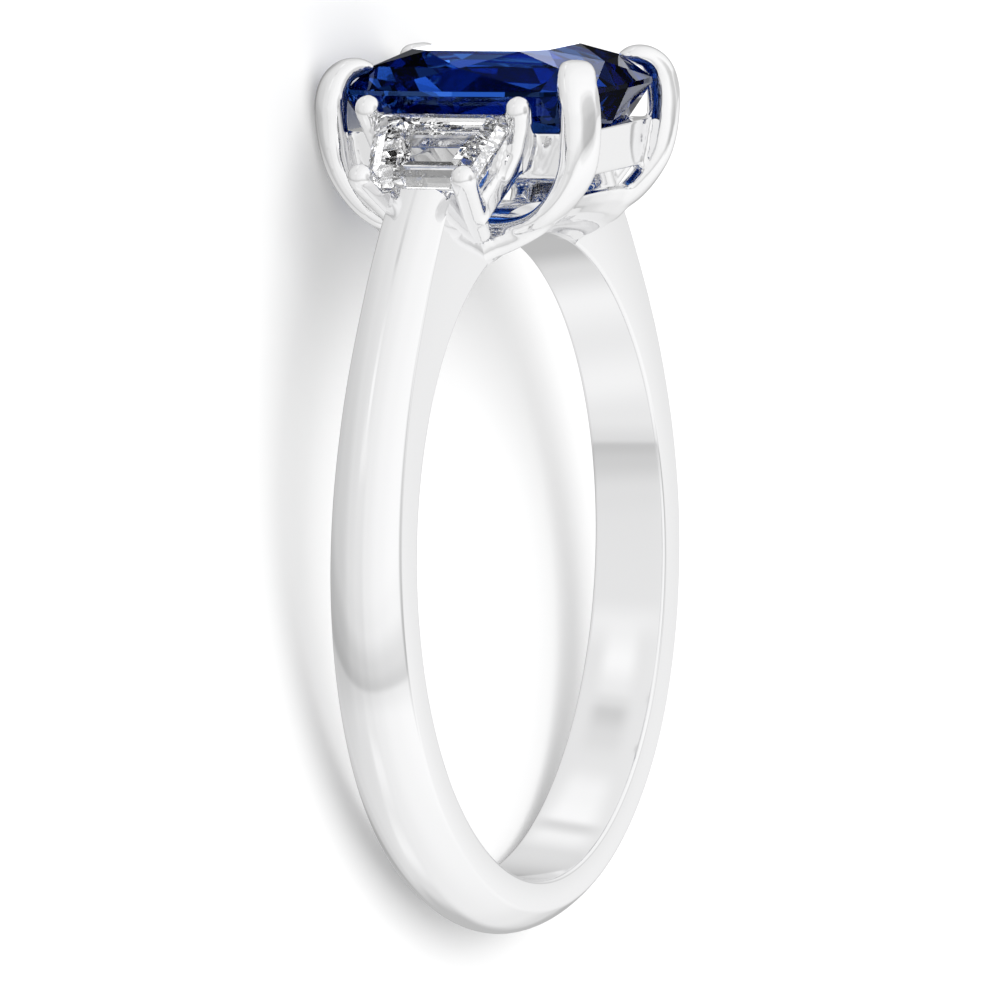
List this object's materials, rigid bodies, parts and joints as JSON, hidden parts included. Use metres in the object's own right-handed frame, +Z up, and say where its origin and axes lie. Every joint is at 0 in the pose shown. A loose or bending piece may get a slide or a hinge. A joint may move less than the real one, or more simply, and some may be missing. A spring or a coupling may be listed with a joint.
{
  "type": "three stone ring",
  "caption": "Polished white metal finger ring with cathedral shoulders, a cushion-cut blue centre stone in oval claws and a sloping step-cut trapezoid stone on each side.",
  "frame": {"origin": "centre of the finger hole", "axes": "the ring lies on its side: +Z up, +Y from the stones toward the bottom of the band, +X toward the shoulder that the picture shows nearest"},
  "size_m": [0.0196, 0.0227, 0.0077],
  "materials": {
    "white_gold": "high polish",
    "blue_stone": "faceted and polished",
    "clear_stone": "faceted and polished"
  },
  "bodies": {
    "root": {"ring_metal": "white_gold", "centre_stone": "blue_stone", "side_stone_left": "clear_stone", "side_stone_right": "clear_stone"}
  },
  "joints": []
}
